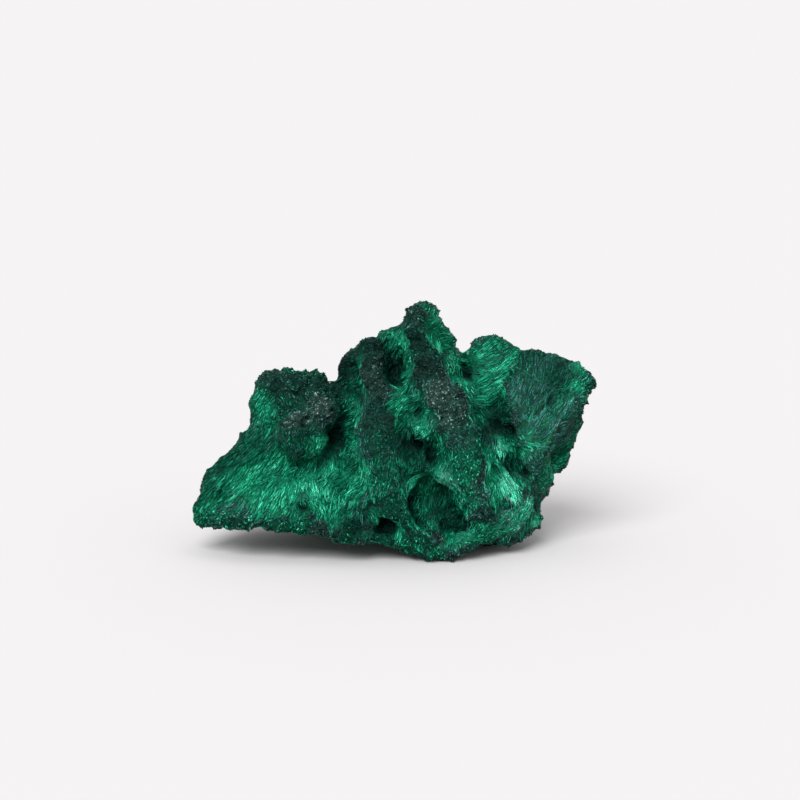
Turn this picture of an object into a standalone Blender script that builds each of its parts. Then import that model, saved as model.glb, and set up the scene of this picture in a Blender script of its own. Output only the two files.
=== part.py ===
"""A hand-sized specimen of fibrous malachite: one grown stone with no other pieces.

The stone is modelled the way it grew. Each sheaf of fibres is held by one or more root
balls inside the stone and ends along a crest. The solid between them is a fin: the convex
hull of two neighbouring crest balls and the roots, one hull after another. All fins are
fused and hollows are cut where sheaves part. The faces are then grooved along the fibres,
which fan out from the spring of their sheaf, and made lumpy along the crests. The feet
are cut flat, so the stone stands on the floor.

X runs to the right, Y away from the front and Z up. The origin is on the floor, under
the middle of the stone. Sizes in the tables are in millimetres.
"""

from collections import namedtuple

import bmesh
import bpy
import numpy as np
from mathutils import Matrix, Vector, noise

MM = 0.001

# Driving sizes
BODY_VOXEL = 0.6
SKIN_VOXEL = 0.6
TRIANGLES = 9500
BLEND_PASSES = 5
BUNDLE_HEIGHT = 2.4
BUNDLE_PER_MM = 0.30
LUMP_HEIGHT = 2.2
LUMP_PER_MM = 0.34
SWELL_HEIGHT = 0.8
SWELL_PER_MM = 0.11
STRETCH_ALONG = 0.16
CREST_FROM = 0.72
BUNDLE_ON_CREST = 0.4
LUMP_OFF_CREST = 0.25
MEAN_FOLD = 0.2
LUMP_SHIFT = (7.0, 3.0, 5.0)
SMOOTH_FACTOR = 0.5
SHARP_ANGLE = 0.9
BALL_DIVISIONS = 2
HOLLOW_DIVISIONS = 3
FLOOR_BLOCK = (100.0, 100.0, 10.0)

GREEN = (0.012, 0.16, 0.085, 1.0)

Sheaf = namedtuple("Sheaf", "roots spring crest")
Hollow = namedtuple("Hollow", "centre radii")

# Each ball is (x, y, z, radius).
CORE = [
    (-16.6, -1.2, 23.2, 6.4),
    (-15, 0.5, 14, 6.5),
    (-4, 1, 13, 9),
    (8, 2, 13, 9.5),
    (16, 2, 14, 8),
    (25, 1.5, 24.6, 5.4),
]

SHEAVES = {
    "knob_top": Sheaf(
        [(-14, 2, 15, 6)],
        (-14, 1, 15),
        [
            (-22.2, -2.6, 28.8, 2.0),
            (-19.0, -3.2, 28.7, 2.4),
            (-15.6, -3.4, 28.4, 2.5),
            (-12.0, -2.6, 27.4, 2.1),
            (-9.8, -1.6, 25.6, 1.5),
        ],
    ),
    "knob_left": Sheaf(
        [(-15, 1, 20, 5)],
        (-12, -2, 31),
        [(-22.6, -2.6, 26.8, 1.8), (-23.0, -3.0, 23.8, 1.8), (-22.6, -3.2, 21.6, 1.5)],
    ),
    "knob_front": Sheaf(
        [(-13, 0, 17, 5)],
        (-14, 1, 13),
        [
            (-12.4, -6.0, 25.0, 2.6),
            (-13.4, -7.2, 22.6, 2.2),
            (-16.8, -7.0, 22.4, 2.6),
            (-16.0, -7.4, 18.6, 2.2),
        ],
    ),
    "wing_rim": Sheaf(
        [(-13, -1.5, 13.5, 3.2), (-14, 3, 9, 4)],
        (-11, -5, 21),
        [
            (-31.8, -7.0, 9.0, 1.6),
            (-32.6, -8.2, 5.6, 1.7),
            (-29.2, -10.6, 6.4, 1.6),
            (-24.6, -12.4, 6.8, 1.6),
            (-18.6, -13.4, 6.8, 1.6),
            (-12.6, -13.6, 6.2, 1.6),
        ],
    ),
    "wing_edge": Sheaf(
        [(-14, 1, 14, 5)],
        (-15, -2, 28),
        [
            (-31.8, -7.0, 9.0, 1.6),
            (-31.4, -5.4, 12.4, 1.8),
            (-29.0, -4.4, 15.0, 2.0),
            (-26.0, -3.6, 17.3, 2.0),
            (-22.8, -3.0, 19.8, 1.9),
        ],
    ),
    "valley_spray": Sheaf(
        [(-8, -2, 11, 4)],
        (-12.4, -7, 16),
        [
            (-12.6, -13.6, 6.2, 1.6),
            (-8.6, -14.0, 6.0, 1.7),
            (-4.6, -14.4, 8.0, 1.8),
            (-2.2, -14.2, 12.0, 1.8),
        ],
    ),
    "left_ridge": Sheaf(
        [(-6, 0, 14, 4), (2, 0, 17, 6)],
        (-13, -7, 13),
        [
            (-3.2, -6.0, 32.4, 2.4),
            (-2.6, -9.0, 27.8, 2.8),
            (-2.6, -11.4, 22.4, 3.0),
            (-1.8, -12.6, 16.4, 3.0),
            (-0.4, -13.4, 10.6, 2.6),
            (2.2, -13.9, 6.6, 2.0),
            (5.2, -13.8, 3.6, 1.6),
            (8.6, -12.6, 1.2, 1.3),
        ],
    ),
    "left_shoulder": Sheaf(
        [(-1, 3, 20, 5)],
        (4, 0, 38),
        [
            (-3.2, -3.8, 35.0, 1.7),
            (-6.6, -2.8, 33.2, 1.7),
            (-8.4, -2.6, 30.8, 1.6),
            (-7.8, -3.2, 27.6, 1.6),
            (-8.2, -3.8, 24.0, 1.7),
        ],
    ),
    "saddle": Sheaf(
        [(1, 4, 24, 5)],
        (6, 0, 41),
        [(-3.4, -2.4, 35.2, 1.5), (-1.0, 1.0, 35.8, 1.4), (1.2, 1.0, 36.6, 1.4), (3.4, -0.4, 38.4, 1.5)],
    ),
    "peak_knob": Sheaf(
        [(5, 2, 28, 5)],
        (5, 1, 33),
        [(3.8, -3.6, 41.0, 1.7), (4.0, -5.0, 37.2, 2.0)],
    ),
    "peak_tip": Sheaf(
        [(6, 4, 25, 6)],
        (5, 2, 34),
        [
            (3.8, -3.2, 40.0, 1.4),
            (5.4, -1.8, 41.8, 1.3),
            (6.9, -1.0, 39.0, 1.5),
            (8.9, -0.8, 36.4, 1.4),
            (9.6, -0.6, 34.0, 1.4),
        ],
    ),
    "main_ridge": Sheaf(
        [(8, 3, 17, 7)],
        (10, 0, 37),
        [
            (4.0, -5.0, 37.2, 2.0),
            (4.6, -7.4, 33.8, 2.5),
            (6.8, -9.8, 30.0, 3.0),
            (9.6, -11.4, 26.0, 3.2),
            (11.4, -12.2, 21.6, 3.0),
            (12.6, -12.4, 16.6, 2.6),
            (13.8, -12.0, 11.4, 2.3),
            (14.8, -10.8, 7.0, 2.1),
        ],
    ),
    "middle_tufts": Sheaf(
        [(4, 0, 25, 4)],
        (10, -2, 37),
        [
            (1.8, -7.0, 30.4, 1.9),
            (1.4, -8.4, 27.6, 2.2),
            (2.6, -9.8, 23.8, 2.2),
            (5.2, -10.8, 22.2, 2.2),
        ],
    ),
    "pocket_back": Sheaf(
        [(7, 0, 15, 4)],
        (7, -6, 27),
        [(4.6, -10.8, 18.6, 1.7), (5.2, -11.4, 16.2, 1.9), (6.6, -10.6, 13.6, 1.8)],
    ),
    "right_fan": Sheaf(
        [(10, 2, 24, 3.5), (14, 2, 15, 5)],
        (0, -4, 20),
        [
            (12.6, 3.4, 31.8, 1.5),
            (15.2, 3.6, 33.2, 1.5),
            (17.6, 3.4, 34.8, 1.4),
            (19.4, 2.4, 33.6, 1.5),
            (21.6, 0.6, 31.8, 1.4),
        ],
    ),
    "right_top": Sheaf(
        [(17, 2, 17, 5)],
        (19, -3, 10),
        [
            (21.6, 0.6, 31.8, 1.4),
            (24.4, 0.0, 32.8, 1.6),
            (27.2, -0.6, 32.4, 1.6),
            (30.0, -0.8, 31.0, 1.5),
            (32.4, -1.2, 30.2, 1.5),
            (33.8, -1.4, 28.2, 1.4),
        ],
    ),
    "right_edge": Sheaf(
        [(14, 3, 14, 6)],
        (17, -2, 8),
        [
            (33.6, -1.4, 28.0, 1.4),
            (31.0, -0.8, 24.8, 1.6),
            (31.0, -0.4, 20.6, 1.6),
            (28.8, -0.4, 16.2, 1.6),
            (26.6, -0.6, 12.4, 1.5),
            (26.2, -1.0, 9.6, 1.4),
        ],
    ),
    "right_face": Sheaf(
        [(21, 4, 19, 5)],
        (19, -2, 10),
        [
            (21.6, -1.6, 30.0, 2.0),
            (20.6, -3.6, 26.8, 2.4),
            (21.6, -4.4, 22.4, 2.6),
            (23.4, -4.8, 18.4, 2.4),
            (25.0, -4.8, 14.4, 2.0),
            (25.6, -3.8, 10.6, 1.6),
        ],
    ),
    "face_middle": Sheaf(
        [(20, 3, 19, 5)],
        (19, -2, 10),
        [(24.8, -1.8, 30.2, 1.7), (25.2, -3.6, 26.8, 2.2), (25.2, -4.6, 23.2, 2.2)],
    ),
    "right_crease": Sheaf(
        [(23, 3, 18, 5)],
        (18, -3, 9),
        [
            (32.0, -2.6, 26.8, 1.5),
            (29.0, -4.2, 23.6, 2.2),
            (26.4, -5.4, 19.8, 2.2),
            (23.4, -6.4, 15.8, 1.9),
        ],
    ),
    "small_fan": Sheaf(
        [(14.5, -6, 15, 3), (15, -2, 12, 4)],
        (12.5, -6, 23),
        [
            (22.0, -8.0, 11.0, 1.3),
            (21.0, -9.4, 8.6, 1.4),
            (18.4, -10.6, 7.4, 1.5),
            (15.6, -11.2, 7.6, 1.6),
        ],
    ),
    "right_corner": Sheaf(
        [(14, 0, 8, 5)],
        (15, -3, 12),
        [
            (25.0, -2.6, 9.6, 1.5),
            (24.2, -3.0, 6.2, 1.5),
            (23.6, -4.2, 4.0, 1.5),
            (21.8, -6.4, 3.3, 1.4),
            (18.4, -9.8, 3.3, 1.5),
        ],
    ),
    "corner_face": Sheaf(
        [(15, -2, 8, 4)],
        (16, -6, 1),
        [(22.8, -5.8, 11.0, 1.6), (22.4, -7.2, 7.8, 1.6), (20.6, -9.2, 5.3, 1.6)],
    ),
    "pocket_lip": Sheaf(
        [(13, -2, 6, 4)],
        (18, -5, 11),
        [
            (8.6, -12.6, 1.2, 1.3),
            (10.8, -12.6, 2.5, 1.6),
            (13.4, -12.4, 3.8, 1.7),
            (15.8, -11.6, 4.6, 1.8),
        ],
    ),
    "front_foot_band": Sheaf(
        [(-2, 0, 8, 6)],
        (-4, -3, 15),
        [
            (-12.6, -12.8, 5.8, 1.4),
            (-9.4, -12.8, 5.2, 1.4),
            (-5.0, -13.0, 4.8, 1.5),
            (-2.4, -13.2, 4.0, 1.4),
            (0.4, -13.4, 3.2, 1.4),
            (3.2, -13.6, 2.5, 1.4),
            (6.2, -13.6, 1.9, 1.4),
        ],
    ),
    "back_spine": Sheaf(
        [(0, 2, 18, 8)],
        (2, 1, 25),
        [
            (5.0, 0.6, 39.4, 1.6),
            (2.8, 4.6, 34.6, 2.2),
            (-1.4, 8.6, 29.4, 2.6),
            (-5.0, 11.6, 23.0, 2.8),
            (-6.4, 13.0, 15.6, 2.6),
            (-4.8, 12.8, 8.0, 2.4),
        ],
    ),
    "back_shelf": Sheaf(
        [(4, 4, 13, 6)],
        (4, 3, 22),
        [
            (-4.8, 12.8, 8.0, 2.4),
            (0.6, 14.2, 8.8, 2.2),
            (6.0, 14.4, 7.0, 2.4),
            (11.0, 13.4, 6.2, 2.2),
        ],
    ),
    "back_left": Sheaf(
        [(-13, 2, 14, 6)],
        (-12, 1, 19),
        [
            (-18.0, 0.6, 28.4, 2.4),
            (-15.6, 5.0, 25.8, 2.4),
            (-16.6, 8.2, 20.4, 2.6),
            (-20.2, 8.8, 14.6, 2.4),
            (-22.4, 7.4, 9.0, 2.0),
        ],
    ),
    "back_left_rim": Sheaf(
        [(-14, 3, 10, 5)],
        (-12, 0, 17),
        [
            (-31.6, -4.6, 10.0, 1.6),
            (-29.0, 0.8, 8.2, 1.7),
            (-25.8, 4.4, 7.0, 1.8),
            (-20.6, 7.6, 5.4, 1.9),
        ],
    ),
    "back_left_dish": Sheaf(
        [(-13, 3, 9, 5)],
        (-12, 2, 18),
        [
            (-20.6, 7.6, 5.4, 1.9),
            (-15.0, 9.8, 4.2, 2.0),
            (-9.4, 11.4, 4.4, 2.0),
            (-4.8, 12.8, 8.0, 2.4),
        ],
    ),
    "back_middle": Sheaf(
        [(7, 3, 17, 7)],
        (5, 1, 25),
        [
            (8.6, 3.6, 33.0, 1.8),
            (11.4, 8.0, 29.6, 2.2),
            (12.6, 11.6, 24.0, 2.5),
            (9.6, 13.8, 18.2, 2.4),
            (6.2, 14.4, 12.4, 2.2),
        ],
    ),
    "back_right": Sheaf(
        [(15, 3, 17, 7)],
        (13, 1, 21),
        [
            (17.4, 4.4, 33.4, 1.7),
            (20.6, 7.4, 29.0, 2.2),
            (22.0, 9.4, 23.0, 2.4),
            (20.2, 11.2, 16.6, 2.6),
            (16.6, 12.8, 11.0, 2.4),
            (12.6, 12.6, 5.0, 2.2),
        ],
    ),
    "back_far_right": Sheaf(
        [(20, 3, 18, 5)],
        (18, 1, 16),
        [
            (31.6, 0.8, 28.2, 1.8),
            (29.4, 4.2, 24.6, 2.0),
            (28.0, 5.4, 19.0, 2.0),
            (25.0, 6.8, 13.0, 2.0),
            (20.4, 8.4, 7.6, 2.0),
        ],
    ),
    "feet_front": Sheaf(
        [(6, -1, 8, 5)],
        (8, -2, 12),
        [(8.8, -12.2, 0.7, 1.3), (13.2, -7.4, 2.6, 1.5), (18.6, -1.6, 1.0, 1.9)],
    ),
    "feet_back": Sheaf(
        [(0, 4, 8, 6)],
        (0, 3, 14),
        [(-13.0, 7.6, 1.2, 2.4), (0.0, 9.0, 3.0, 2.2), (12.6, 9.6, 1.2, 2.4)],
    ),
}

HOLLOWS = {
    "pocket": Hollow((6.8, -14.2, 10.2), (4.9, 6.8, 5.3)),
    "pocket_floor": Hollow((9.6, -12.6, 6.4), (3.4, 4.6, 2.4)),
    "upper_pocket": Hollow((6.4, -13.8, 17.6), (1.1, 1.9, 2.3)),
    "small_hole": Hollow((3.8, -11.8, 20.2), (1.5, 3.4, 0.8)),
    "peak_hollow": Hollow((0.3, -7.4, 32.6), (1.9, 5.6, 4.2)),
    "knob_gap": Hollow((-8.7, -6.4, 25.2), (1.0, 4.6, 3.6)),
    "knob_hole": Hollow((-10.4, -7.6, 21.0), (1.5, 4.6, 2.2)),
    "knob_notch": Hollow((-15.2, -10.2, 23.6), (0.9, 2.4, 2.0)),
    "knob_groove": Hollow((-20.6, -6.4, 24.6), (1.2, 2.0, 4.0)),
    "valley": Hollow((-11.8, -10.6, 16.4), (1.3, 4.0, 3.6)),
    "fan_crack": Hollow((12.6, -4.0, 30.6), (0.9, 5.2, 3.4)),
    "fan_hole": Hollow((18.6, -7.0, 20.8), (1.3, 3.4, 1.3)),
    "fan_gap": Hollow((17.6, -8.6, 16.2), (1.2, 2.6, 2.0)),
    "ledge_gap": Hollow((-2.2, -17.2, 6.9), (4.4, 3.2, 1.0)),
    "back_pocket": Hollow((2.4, 15.4, 16.8), (3.0, 5.6, 4.4)),
    "back_notch": Hollow((16.6, 13.6, 20.0), (1.4, 4.2, 3.6)),
    "back_hole": Hollow((-11.4, 11.0, 18.6), (1.8, 4.6, 3.4)),
    "under_hollow": Hollow((1.6, 1.2, 0.8), (9.2, 6.0, 2.9)),
}


def clear_scene():
    for obj in list(bpy.data.objects):
        bpy.data.objects.remove(obj)


def collection(name):
    made = bpy.data.collections.new(name)
    bpy.context.scene.collection.children.link(made)
    return made


def add_hull(shell, balls):
    """Adds the convex hull of some balls to a bmesh."""
    hull = bmesh.new()
    for *centre, radius in balls:
        place = Matrix.Translation(centre)
        bmesh.ops.create_icosphere(hull, subdivisions=BALL_DIVISIONS, radius=radius, matrix=place)
    made = bmesh.ops.convex_hull(hull, input=hull.verts)
    inner = set(made["geom_interior"]) | set(made["geom_unused"])
    bmesh.ops.delete(hull, geom=[v for v in inner if isinstance(v, bmesh.types.BMVert)], context="VERTS")
    mesh = bpy.data.meshes.new("hull")
    hull.to_mesh(mesh)
    hull.free()
    shell.from_mesh(mesh)
    bpy.data.meshes.remove(mesh)


def fins():
    """One mesh of overlapping fins, a hull for each stretch of each crest."""
    shell = bmesh.new()
    for near, far in zip(CORE, CORE[1:]):
        add_hull(shell, [near, far])
    for sheaf in SHEAVES.values():
        for near, far in zip(sheaf.crest, sheaf.crest[1:]):
            add_hull(shell, [near, far, *sheaf.roots])
    mesh = bpy.data.meshes.new("fins")
    shell.to_mesh(mesh)
    shell.free()
    return mesh


def hollow_cutters():
    """The hollows as one mesh of ellipsoids."""
    shell = bmesh.new()
    for hollow in HOLLOWS.values():
        place = Matrix.Translation(hollow.centre) @ Matrix.Diagonal((*hollow.radii, 1.0))
        bmesh.ops.create_icosphere(shell, subdivisions=HOLLOW_DIVISIONS, radius=1.0, matrix=place)
    mesh = bpy.data.meshes.new("hollows")
    shell.to_mesh(mesh)
    shell.free()
    return mesh


def evaluated_mesh(obj):
    """A copy of the object's mesh with its modifiers applied."""
    graph = bpy.context.evaluated_depsgraph_get()
    return bpy.data.meshes.new_from_object(obj.evaluated_get(graph))


def add_remesh(obj, voxel):
    remesh = obj.modifiers.new("Fuse", "REMESH")
    remesh.mode = "VOXEL"
    remesh.voxel_size = voxel


def add_cut(obj, cutter):
    cut = obj.modifiers.new("Cut", "BOOLEAN")
    cut.operation = "DIFFERENCE"
    cut.object = cutter


def add_smooth(obj, passes):
    smooth = obj.modifiers.new("Blend", "SMOOTH")
    smooth.factor = SMOOTH_FACTOR
    smooth.iterations = passes


def share_of_crest(points, corners):
    """Weights of the three corners for the place on one triangle nearest each point."""
    a, b, c = corners
    ab, ac = b - a, c - a
    d00, d01, d11 = ab @ ab, ab @ ac, ac @ ac
    ap = points - a
    d20, d21 = ap @ ab, ap @ ac
    spread = max(d00 * d11 - d01 * d01, 1e-9)
    v = (d11 * d20 - d01 * d21) / spread
    w = (d00 * d21 - d01 * d20) / spread
    weights = np.clip(np.stack([1 - v - w, v, w], axis=1), 0.0, None)
    return weights / weights.sum(axis=1, keepdims=True)


def fibre_field(points):
    """For each point, the direction of its fibres and how far it lies from root (0) to crest (1)."""
    best = np.full(len(points), np.inf)
    along = np.zeros((len(points), 3))
    height = np.zeros(len(points))
    for sheaf in SHEAVES.values():
        root = np.mean(sheaf.roots, axis=0)
        way = points - np.array(sheaf.spring, float)
        way /= np.linalg.norm(way, axis=1, keepdims=True)
        for near, far in zip(sheaf.crest, sheaf.crest[1:]):
            table = np.array([near, far, root], float)
            weights = share_of_crest(points, table[:, :3])
            gap = np.linalg.norm(points - weights @ table[:, :3], axis=1) - weights @ table[:, 3]
            nearer = gap < best
            best[nearer] = gap[nearer]
            along[nearer] = way[nearer]
            height[nearer] = weights[nearer, :2].sum(axis=1)
    return along, height


def surface_lift(points):
    """How far each surface point moves out: bundles along the fibres, lumps on the crests."""
    along, height = fibre_field(points)
    crests = np.clip((height - CREST_FROM) / (1.0 - CREST_FROM), 0.0, 1.0)
    lift = np.zeros(len(points))
    for i, point in enumerate(points):
        way = along[i]
        across = point - (1.0 - STRETCH_ALONG) * float(point @ way) * way
        bundle = abs(noise.noise(Vector(across) * BUNDLE_PER_MM))
        lump = abs(noise.noise(Vector(point) * LUMP_PER_MM + Vector(LUMP_SHIFT)))
        swell = noise.noise(Vector(point) * SWELL_PER_MM)
        bundle_share = 1.0 + (BUNDLE_ON_CREST - 1.0) * crests[i]
        lump_share = LUMP_OFF_CREST + (1.0 - LUMP_OFF_CREST) * crests[i]
        lift[i] = BUNDLE_HEIGHT * bundle_share * (bundle - MEAN_FOLD)
        lift[i] += LUMP_HEIGHT * lump_share * (lump - MEAN_FOLD)
        lift[i] += SWELL_HEIGHT * swell
    return lift


def carve(mesh):
    """Bundles and lumps, by moving each vertex along its normal."""
    count = len(mesh.vertices)
    points = np.empty(count * 3, np.float32)
    normals = np.empty(count * 3, np.float32)
    mesh.vertices.foreach_get("co", points)
    mesh.vertices.foreach_get("normal", normals)
    points = points.reshape(-1, 3).astype(float)
    normals = normals.reshape(-1, 3).astype(float)
    moved = points + normals * surface_lift(points)[:, None]
    mesh.vertices.foreach_set("co", moved.astype(np.float32).ravel())
    mesh.update()


def hide(obj):
    obj.hide_render = True
    obj.display_type = "WIRE"


def helper(name, mesh, helpers):
    obj = bpy.data.objects.new(name, mesh)
    helpers.objects.link(obj)
    hide(obj)
    return obj


def floor_cutter(helpers):
    """A block whose top is the floor, under the whole stone."""
    shell = bmesh.new()
    place = Matrix.Translation((0.0, 0.0, -FLOOR_BLOCK[2] / 2)) @ Matrix.Diagonal((*FLOOR_BLOCK, 1.0))
    bmesh.ops.create_cube(shell, size=1.0, matrix=place)
    mesh = bpy.data.meshes.new("floor_cutter")
    shell.to_mesh(mesh)
    shell.free()
    return helper("floor_cutter", mesh, helpers)


def malachite_material():
    material = bpy.data.materials.new("fibrous_malachite")
    material.use_nodes = True
    shader = material.node_tree.nodes["Principled BSDF"]
    shader.inputs["Base Color"].default_value = GREEN
    shader.inputs["Roughness"].default_value = 0.55
    shader.inputs["Metallic"].default_value = 0.0
    material.diffuse_color = GREEN
    return material


def build():
    clear_scene()
    parts = collection("malachite_specimen")
    helpers = collection("helpers")

    body = helper("body", fins(), helpers)
    hollows = helper("hollow_cutters", hollow_cutters(), helpers)
    add_remesh(body, BODY_VOXEL)
    add_remesh(hollows, BODY_VOXEL)
    add_cut(body, hollows)
    add_smooth(body, BLEND_PASSES)

    skin = helper("skin", evaluated_mesh(body), helpers)
    carve(skin.data)
    add_remesh(skin, SKIN_VOXEL)
    fine = evaluated_mesh(skin)

    stone = bpy.data.objects.new("malachite_stone", fine)
    parts.objects.link(stone)
    thin = stone.modifiers.new("Thin", "DECIMATE")
    fine.calc_loop_triangles()
    thin.ratio = TRIANGLES / len(fine.loop_triangles)
    thin.use_collapse_triangulate = True
    coarse = evaluated_mesh(stone)
    stone.modifiers.clear()
    stone.data = coarse
    add_cut(stone, floor_cutter(helpers))
    cut = evaluated_mesh(stone)
    stone.modifiers.clear()
    stone.data = cut

    low = np.min([v.co for v in cut.vertices], axis=0)
    high = np.max([v.co for v in cut.vertices], axis=0)
    middle = (low + high) / 2
    cut.transform(Matrix.Translation((-middle[0], -middle[1], -low[2])))
    cut.transform(Matrix.Scale(MM, 4))
    cut.materials.clear()
    cut.materials.append(malachite_material())
    cut.shade_smooth()
    cut.set_sharp_from_angle(angle=SHARP_ANGLE)


build()
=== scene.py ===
"""The looks of a hand-sized specimen of fibrous malachite.

The body is a finer copy of the solid, drawn in a little to leave room for the fibres. The
fibres are bundles and tapered needles that gather in tufts: on a slope they lie along the
face, and on a crest they stand up as a short dark pile. Their tips reach the solid's surface.

Patches name places on the front by where the photograph shows them, and each is set on the
surface under its pixel. Headings are in degrees in the picture, 0 to the right and 90 up,
and say which way the fibres grow. On the sides that the photograph doesn't show, the fibres
fan out and down from springs inside the stone. Sizes are in millimetres until the last step.
"""

import math
from collections import namedtuple

import bpy
import numpy as np
from mathutils import Matrix, Vector, noise
from mathutils.bvhtree import BVHTree
from mathutils.kdtree import KDTree

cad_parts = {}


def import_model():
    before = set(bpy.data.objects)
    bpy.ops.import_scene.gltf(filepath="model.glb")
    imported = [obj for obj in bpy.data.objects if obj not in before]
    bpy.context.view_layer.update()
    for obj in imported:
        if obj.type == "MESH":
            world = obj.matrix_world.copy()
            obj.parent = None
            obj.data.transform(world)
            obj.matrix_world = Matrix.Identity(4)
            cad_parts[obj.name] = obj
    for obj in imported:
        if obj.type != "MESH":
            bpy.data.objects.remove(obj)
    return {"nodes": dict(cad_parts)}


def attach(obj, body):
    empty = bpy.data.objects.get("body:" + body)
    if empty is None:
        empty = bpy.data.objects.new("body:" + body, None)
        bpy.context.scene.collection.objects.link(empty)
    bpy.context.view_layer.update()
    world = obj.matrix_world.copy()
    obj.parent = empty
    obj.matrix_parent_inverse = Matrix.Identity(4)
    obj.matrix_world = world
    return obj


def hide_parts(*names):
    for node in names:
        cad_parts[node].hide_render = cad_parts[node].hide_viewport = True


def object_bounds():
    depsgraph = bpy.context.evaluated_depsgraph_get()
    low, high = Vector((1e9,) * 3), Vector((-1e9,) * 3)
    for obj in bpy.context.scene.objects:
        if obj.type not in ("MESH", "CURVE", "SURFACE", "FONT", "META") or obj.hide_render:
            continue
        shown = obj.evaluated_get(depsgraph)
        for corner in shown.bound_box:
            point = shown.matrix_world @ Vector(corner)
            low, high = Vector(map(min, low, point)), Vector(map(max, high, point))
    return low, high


MM = 0.001
TINY = 1e-9

# The camera: its picture in pixels, the point that it aims at, how far the stone was moved to stand
# over its origin, and the near clip in metres
PICTURE = 800
LENS = 100.0
SENSOR = 36.0
DISTANCE = 388.9
TILT = math.radians(12.0)
AIM_RIGHT = 1.05
AIM_UP = 24.57
CENTRING = (0.241, 0.180, 0.0)
NEAR_CLIP = 0.01

# The body. A SPAN gives the values where a blend starts and where it is complete
BODY_VOXEL = 0.4
INSET = 0.19
GRAIN_HEIGHT, CREST_GRAIN = 0.12, 5.0
GRAIN_PER_MM, FINE_GRAIN_PER_MM, FINE_GRAIN_SHARE = 1.1, 2.7, 0.5
ROUGH_SPAN = (0.3, 0.9)
RELIEF_PASSES = 150
CREST_SPAN, HOLLOW_SPAN = (0.1, 0.8), (0.4, 1.8)

# Hollows get painted shade: rays from the solid tell how open each place is
OPEN_RAYS, OPEN_REACH, OPEN_START = 40, 7.0, 0.4
OPEN_PASSES = 14
OPEN_SPAN = (0.32, 0.78)
DEEP_SHARE = 0.35

# Tufts. A RANGE gives the limits of an even random draw, and a SPREAD is the width of a normal one
SEED = 11
UNDERSIDE_SPAN, UNDERSIDE_SHARE = (0.5, 0.9), 0.4
TUFTS_PER_MM2 = 0.8
STEPS, MIDDLE_STEP = 3, 2
HUG = 0.85
RISE_LOW, RISE_HIGH, RISE_SPREAD, RISE_LIMIT = 0.03, 0.09, 0.5, 1.5
TUFT_SWING, SWING_LYING, SWING_STANDING = 0.13, 0.4, 1.6
LENGTH_SHARE, LENGTH_RANGE = 1.15, (0.7, 1.3)
STAND_SPREAD = 0.06
PILE_SLANT, PILE_SPREAD = 0.25, 0.4

# Bundles. Each takes the tuft that starts nearest to a point at BACK_RANGE along its own flow, and
# closes in on it by its gather. Middles are lifted by shares of the tip's height over the surface
BUNDLE_PIECES, BUNDLES_PER_PIECE = 3, 15000
BACK_RANGE = (-0.9, 0.3)
GATHER, GATHER_SPREAD, GATHER_LIMITS = 0.2, 0.35, (-0.3, 0.95)
REACH_RANGE = (0.7, 1.06)
MIDDLE_SHARE, BLUNT_MIDDLE = 0.8, 0.8
TIP_HEIGHT, TIP_RANGE, TIP_SPREAD = 0.05, (0.4, 1.3), 0.04
LEAST_LIFT, MOST_LIFT, MIDDLE_SINK = 0.35, 0.8, 0.8
LOWEST_TIP, LOWEST_ROOT = 0.05, 0.1
BOX_MARGIN, SHORTEST = 0.25, 0.15
BUNDLE_WIDTH, NUB_WIDTH, WIDTH_RANGE = 0.21, 0.3, (0.55, 1.45)
RIDGE_RANGE, LYING_RIDGE = (0.5, 0.9), 0.6
SKEW_RANGE = (-0.6, 0.6)
ROOT_DEPTH, LYING_ROOT, NUB_MIDDLE = 0.15, 0.7, 0.8

# The corners 0 to 2 are a bundle's root, 3 to 5 its middle and 6 its tip: left, right, ridge
BUNDLE_SHAPE = (
    (0, 2, 5), (0, 5, 3), (2, 1, 4), (2, 4, 5), (1, 0, 3), (1, 3, 4),
    (3, 5, 6), (5, 4, 6), (4, 3, 6), (0, 1, 2),
)
# Which of the faces get painted light and which painted shade, and how far up in the map each corner is
BUNDLE_LIT = (1, 1, -1, -1, 0, 0, 1, -1, 0, 0)
BUNDLE_HEIGHTS = (0.0, 0.0, 0.15, 0.45, 0.45, 0.7, 1.0)

# Single fibres, which lie on the bundles
NEEDLE_PIECES, NEEDLES_PER_PIECE = 2, 49500
NEEDLE_RADIUS, NEEDLE_RADIUS_RANGE = 0.036, (0.6, 1.4)
NEEDLE_LIFT, NEEDLE_SINK = 0.04, 0.02
NEEDLE_START_RANGE, NEEDLE_LENGTH_RANGE, NEEDLE_END_RANGE = (0.1, 0.62), (0.35, 0.6), (0.9, 1.12)
NEEDLE_ACROSS, NEEDLE_CLOSING = 0.95, 0.9
NEEDLE_FEWER_STANDING = 0.85
NEEDLE_SHAPE = ((0, 1, 3), (1, 2, 3), (2, 0, 3), (2, 1, 0))
NEEDLE_HEIGHTS = (0.5, 0.5, 0.5, 1.0)

# Differences of tone between tufts, bundles and fibres, and the painted light and shade between a
# bundle's faces
TUFT_LEAN, BUNDLE_LEAN, NUB_LEAN = 0.105, 0.07, 0.36
FACET_LIGHT_SHADE, NEEDLE_LEAN = 0.08, 0.27
# GLINT_LEAN lightens a share of the fibres as painted glints
GLINT_LEAN, GLINT_SHARE = 0.3, 0.14
GRIT, GRIT_PER_MM = 0.6, 3.4
EVEN_SHARE, LEAST_TONE = 0.9, 0.05
MIDDLE_TONE, TONE_CONTRAST = 0.5, 1.15
MOTTLE, MOTTLE_PER_MM = 0.11, 0.7
FINE_MOTTLE_SHARE, FINE_MOTTLE_TIMES = 0.6, 2.3
MOTTLE_LYING, MOTTLE_STANDING = 0.5, 1.5

# How the marks on the front join: patches by their nearness, and each only where it faces the camera
AUTO_WEIGHT = 0.05
PATCH_SHARPNESS = 1.9
FACING_SPAN = (-0.35, 0.1)
LEAST_FACING, STEEPEST = 0.35, 1.5
PIT_SHADE, PIT_DEPTH, PIT_SHARPNESS = 0.9, 0.7, 4
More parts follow.
